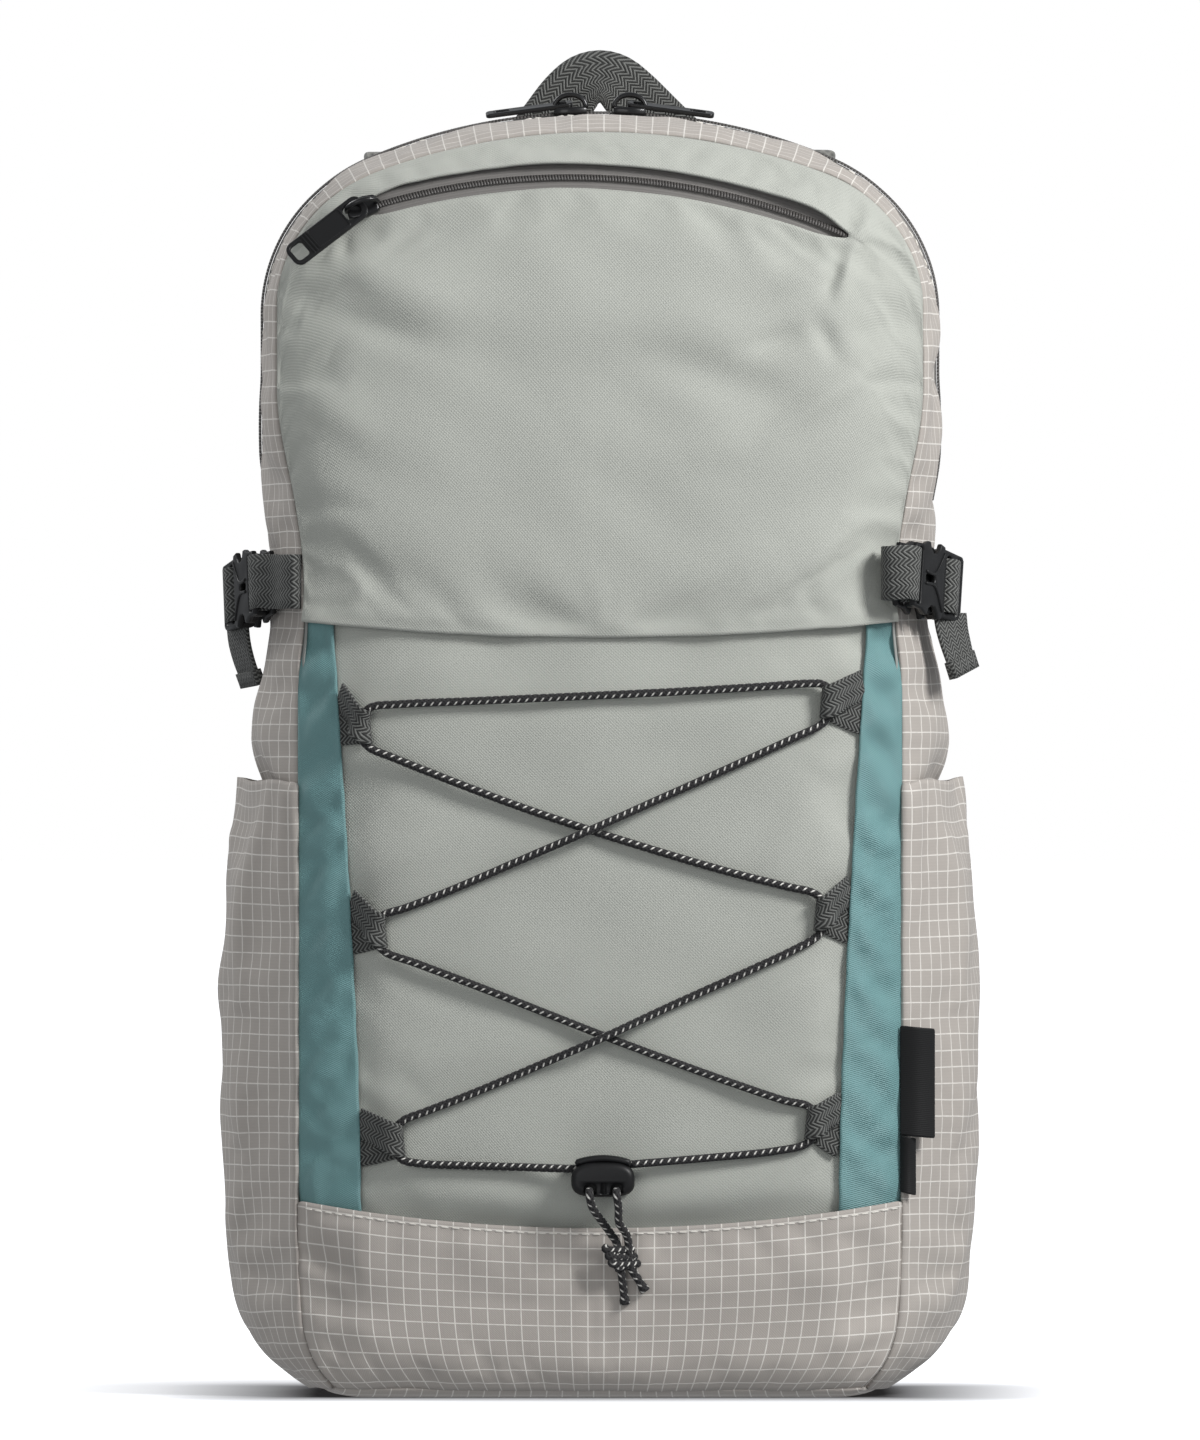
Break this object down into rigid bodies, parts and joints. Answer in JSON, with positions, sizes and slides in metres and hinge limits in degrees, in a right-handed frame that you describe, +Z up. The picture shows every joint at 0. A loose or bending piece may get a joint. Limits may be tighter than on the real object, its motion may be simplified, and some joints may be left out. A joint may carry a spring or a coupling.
{
  "type": "daypack",
  "caption": "Soft hiking daypack with a fold-forward zipped lid, elastic front lacing, bottle pockets, buckled side straps and a padded harness.",
  "frame": {"origin": "on the floor, under the middle of the body", "axes": "+Z up, the laced front faces -Y, the back pad and harness +Y, +X to the right seen from the front"},
  "size_m": [0.2785, 0.2127, 0.5011],
  "materials": {
    "sage": "matte",
    "ripstop": "matte",
    "teal": "matte",
    "zip_tape": "matte",
    "lining": "matte",
    "air_mesh": "matte",
    "board": "matte",
    "webbing": "matte",
    "plastic": "satin",
    "slider_metal": "satin",
    "spring_steel": "satin",
    "shock_cord": "matte",
    "label": "matte"
  },
  "bodies": {
    "root": {"lower_front_panel": "sage", "upper_panel_hem": "sage", "front_base_panel": "ripstop", "side_panel_left": "ripstop", "side_panel_right": "ripstop", "rear_gusset": "ripstop", "base_panel": "ripstop", "bottle_pocket_left": "ripstop", "bottle_pocket_right": "ripstop", "back_panel": "ripstop", "strap_anchor_left": "ripstop", "strap_anchor_right": "ripstop", "teal_strip_left": "teal", "teal_strip_right": "teal", "main_zip_rear_tape": "zip_tape", "laptop_sleeve": "lining", "back_pad": "air_mesh", "shoulder_strap_left": "air_mesh", "shoulder_strap_right": "air_mesh", "frame_sheet": "board", "strap_webbing_left": "webbing", "strap_webbing_right": "webbing", "front_tab_left": "webbing", "front_tab_right": "webbing", "compression_strap_left": "webbing", "compression_strap_right": "webbing", "lacing_loop_upper_left": "webbing", "lacing_loop_upper_right": "webbing", "lacing_loop_middle_left": "webbing", "lacing_loop_middle_right": "webbing", "lacing_loop_lower_left": "webbing", "lacing_loop_lower_right": "webbing", "buckle_socket_left": "plastic", "buckle_socket_right": "plastic", "cord_lock_body": "plastic", "cord_lock_spring": "spring_steel", "shock_cord": "shock_cord", "cord_tail_left": "shock_cord", "cord_tail_right": "shock_cord", "cord_knot": "shock_cord", "side_labels": "label"},
    "lid": {"lid_panel": "sage", "pocket_lining": "lining", "lid_gusset": "ripstop", "main_zip_front_tape": "zip_tape", "pocket_zip_tape": "zip_tape"},
    "grab_handle": {"grab_handle": "webbing"},
    "main_slider_left": {"main_slider_left": "slider_metal"},
    "main_slider_right": {"main_slider_right": "slider_metal"},
    "main_puller_left": {"main_puller_left": "slider_metal"},
    "main_puller_right": {"main_puller_right": "slider_metal"},
    "pocket_slider": {"pocket_slider": "slider_metal"},
    "pocket_puller": {"pocket_puller": "plastic"},
    "buckle_plug_left": {"buckle_plug_left": "plastic", "strap_tail_left": "webbing"},
    "buckle_plug_right": {"buckle_plug_right": "plastic", "strap_tail_right": "webbing"},
    "ladder_lock_left": {"ladder_lock_left": "plastic"},
    "ladder_lock_right": {"ladder_lock_right": "plastic"},
    "cord_lock_button": {"cord_lock_button": "plastic"}
  },
  "joints": [
    {"name": "lid_fold", "type": "hinge", "parent": "root", "child": "lid", "pos_m": [0, -0.079, 0.33], "axis": [1, 0, 0], "range_deg": [0, 45]},
    {"name": "handle_tilt", "type": "hinge", "parent": "root", "child": "grab_handle", "pos_m": [0.0025, 0.066, 0.467], "axis": [1, 0, 0], "range_deg": [-30, 30], "stiffness_Nm_per_rad": 0.02},
    {"name": "main_zip_left", "type": "hinge", "parent": "lid", "child": "main_slider_left", "pos_m": [0, 0.006, 0.232], "axis": [0, 1, 0], "range_deg": [-14, 0]},
    {"name": "main_zip_right", "type": "hinge", "parent": "lid", "child": "main_slider_right", "pos_m": [0, 0.006, 0.232], "axis": [0, 1, 0], "range_deg": [0, 14]},
    {"name": "main_puller_left_flip", "type": "hinge", "parent": "main_slider_left", "child": "main_puller_left", "pos_m": [-0.01119, 0.006, 0.47845], "axis": [0, 1, 0], "range_deg": [0, 100]},
    {"name": "main_puller_right_flip", "type": "hinge", "parent": "main_slider_right", "child": "main_puller_right", "pos_m": [0.01119, 0.006, 0.47845], "axis": [0, -1, 0], "range_deg": [0, 100]},
    {"name": "pocket_zip_run", "type": "hinge", "parent": "lid", "child": "pocket_slider", "pos_m": [-0.011, -0.0604, 0.196], "axis": [0.0225, 0.9997, 0], "range_deg": [0, 42]},
    {"name": "pocket_puller_flip", "type": "hinge", "parent": "pocket_slider", "child": "pocket_puller", "pos_m": [-0.09083, -0.06484, 0.43844], "axis": [-0.6118, 0.391, 0.6876], "range_deg": [0, 90]},
    {"name": "buckle_left_release", "type": "slide", "parent": "root", "child": "buckle_plug_left", "axis": [-0.2971, 0.9447, -0.1392], "range_m": [0, 0.022], "deforming": ["compression_strap_left", "buckle_plug_left"]},
    {"name": "buckle_right_release", "type": "slide", "parent": "root", "child": "buckle_plug_right", "axis": [0.4456, 0.8843, -0.1392], "range_m": [0, 0.022], "deforming": ["compression_strap_right", "buckle_plug_right"]},
    {"name": "ladder_left_tilt", "type": "hinge", "parent": "root", "child": "ladder_lock_left", "pos_m": [-0.084, 0.1074, 0.133], "axis": [1, 0, 0], "range_deg": [0, 35]},
    {"name": "ladder_right_tilt", "type": "hinge", "parent": "root", "child": "ladder_lock_right", "pos_m": [0.084, 0.1074, 0.133], "axis": [1, 0, 0], "range_deg": [0, 35]},
    {"name": "cord_lock_press", "type": "slide", "parent": "root", "child": "cord_lock_button", "axis": [0, 0, -1], "range_m": [0, 0.002], "stiffness_N_per_m": 300, "deforming": ["cord_lock_spring"]}
  ]
}
